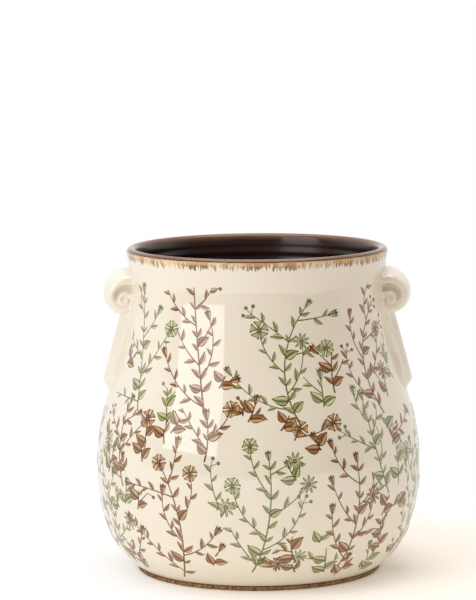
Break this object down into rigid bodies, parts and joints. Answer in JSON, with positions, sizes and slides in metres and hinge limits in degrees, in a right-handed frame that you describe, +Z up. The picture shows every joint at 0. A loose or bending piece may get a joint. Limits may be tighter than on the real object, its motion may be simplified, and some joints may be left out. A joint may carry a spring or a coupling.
{
  "type": "utensil crock",
  "caption": "Round-bellied stoneware crock on a bare foot ring, with a dark liner, a brown lip and scroll handles, open at the top to keep kitchen tools upright.",
  "frame": {"origin": "middle of the foot ring, on the table", "axes": "+Z up along the axis of the pot, +X towards the right handle, -Y towards the viewer of the picture"},
  "size_m": [0.178, 0.178, 0.178],
  "materials": {
    "bare_clay": "unglazed speckled stoneware",
    "cream_glaze": "glossy cream glaze with a printed vine pattern",
    "brown_glaze": "glossy dark brown glaze",
    "lip_wash": "brushed tan and brown wash under gloss"
  },
  "bodies": {
    "root": {"clay_body": "bare_clay", "outer_glaze": "cream_glaze", "liner_glaze": "brown_glaze", "lip_band": "lip_wash", "left_handle": "cream_glaze", "right_handle": "cream_glaze"}
  },
  "joints": []
}
